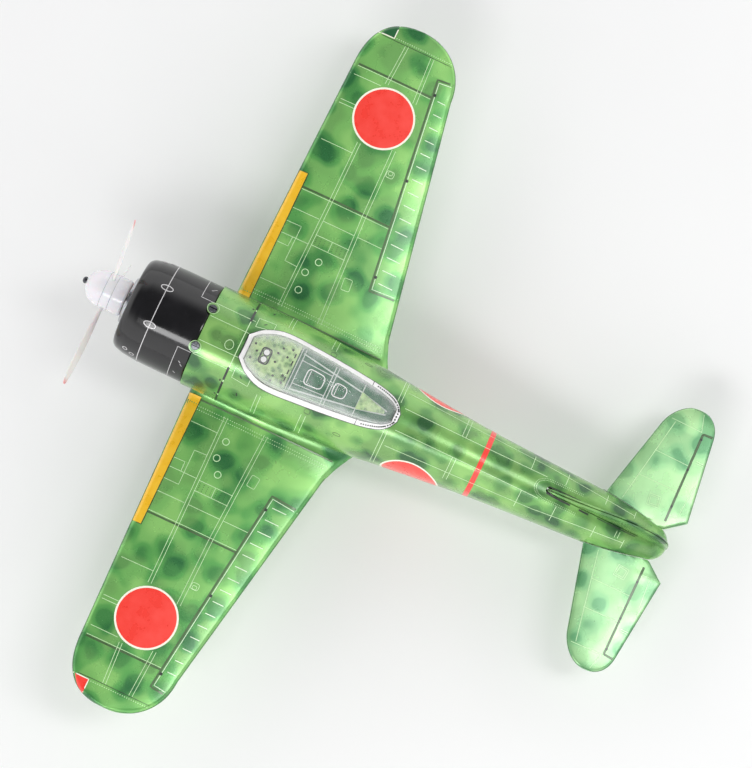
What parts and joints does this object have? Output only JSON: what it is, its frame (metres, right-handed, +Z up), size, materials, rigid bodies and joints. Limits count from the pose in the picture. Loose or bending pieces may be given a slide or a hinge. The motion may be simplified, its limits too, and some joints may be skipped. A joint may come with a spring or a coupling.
{
  "type": "tinplate toy warbird",
  "caption": "Low-wing tinplate toy fighter with a radial cowling, three-blade propeller, clear canopy, fixed wheels and a geared motor drive.",
  "frame": {"origin": "on the floor under the middle of the bounding box", "axes": "+Z up, nose towards -Y, port wing towards +X"},
  "size_m": [0.3784, 0.325, 0.1116],
  "materials": {
    "printed_green_tin": "glossy lithographed green camouflage",
    "printed_black_tin": "glossy lithographed black",
    "printed_cockpit_tin": "lithographed cockpit print",
    "clear_plastic": "clear moulded plastic",
    "pearl_plastic": "pearl white moulding",
    "blade_plastic": "milky translucent white with red tips",
    "rubber": "satin black",
    "bright_steel": "bright plated",
    "brass": "machined",
    "dark_plastic": "matt moulding",
    "cell_jacket": "shrink-wrapped jacket"
  },
  "bodies": {
    "airframe": {"fuselage_upper_shell": "printed_green_tin", "belly_shell": "printed_green_tin", "engine_cowl": "printed_black_tin", "nose_ring": "bright_steel", "nose_bearing": "brass", "canopy": "clear_plastic", "cockpit_tray": "printed_cockpit_tin", "gear_plate": "bright_steel", "motor_can": "bright_steel", "motor_clamp": "bright_steel", "wing_top_port": "printed_green_tin", "wing_underside_port": "printed_green_tin", "tailplane_port": "printed_green_tin", "undercarriage_leg_port": "bright_steel", "leg_door_port": "printed_green_tin", "fin_port": "printed_green_tin", "lug_screw_port": "bright_steel", "battery_cell_port": "cell_jacket", "wheel_axle_port": "bright_steel", "wing_top_starboard": "printed_green_tin", "wing_underside_starboard": "printed_green_tin", "tailplane_starboard": "printed_green_tin", "undercarriage_leg_starboard": "bright_steel", "leg_door_starboard": "printed_green_tin", "fin_starboard": "printed_green_tin", "lug_screw_starboard": "bright_steel", "battery_cell_starboard": "cell_jacket", "wheel_axle_starboard": "bright_steel", "tail_wheel_axle": "bright_steel", "tail_wheel_fork": "bright_steel", "battery_box": "dark_plastic", "belly_hatch": "printed_green_tin", "hatch_screw": "bright_steel"},
    "propeller": {"spinner_nose": "pearl_plastic", "spinner_collar": "pearl_plastic", "spinner_pin": "bright_steel", "propeller": "blade_plastic", "propeller_shaft": "bright_steel", "shaft_gear": "brass"},
    "motor_rotor": {"motor_pinion": "brass", "motor_shaft": "bright_steel"},
    "wheel_port": {"tyre_port": "rubber", "wheel_hub_port": "bright_steel"},
    "wheel_starboard": {"tyre_starboard": "rubber", "wheel_hub_starboard": "bright_steel"},
    "tail_wheel": {"tail_wheel": "rubber"},
    "switch": {"switch_slider": "dark_plastic"}
  },
  "joints": [
    {"name": "propeller_spin", "type": "hinge", "parent": "airframe", "child": "propeller", "pos_m": [0, -0.14802, 0.0681], "axis": [0, 0.9903, -0.139], "continuous": true},
    {"name": "motor_spin", "type": "hinge", "parent": "airframe", "child": "motor_rotor", "pos_m": [0, -0.10406, 0.05032], "axis": [0, 0.9903, -0.139], "continuous": true},
    {"name": "port_wheel_roll", "type": "hinge", "parent": "airframe", "child": "wheel_port", "pos_m": [0.052, -0.07887, 0.01397], "axis": [1, 0, 0], "continuous": true},
    {"name": "starboard_wheel_roll", "type": "hinge", "parent": "airframe", "child": "wheel_starboard", "pos_m": [-0.052, -0.07887, 0.01397], "axis": [1, 0, 0], "continuous": true},
    {"name": "tail_wheel_roll", "type": "hinge", "parent": "airframe", "child": "tail_wheel", "pos_m": [0, 0.12197, 0.00597], "axis": [1, 0, 0], "continuous": true},
    {"name": "switch_slide", "type": "slide", "parent": "airframe", "child": "switch", "axis": [0, 0.9903, -0.139], "range_m": [0, 0.004]}
  ],
  "couplings": [
    {"joint": "motor_spin", "follows": "propeller_spin", "ratio": -2.5}
  ]
}
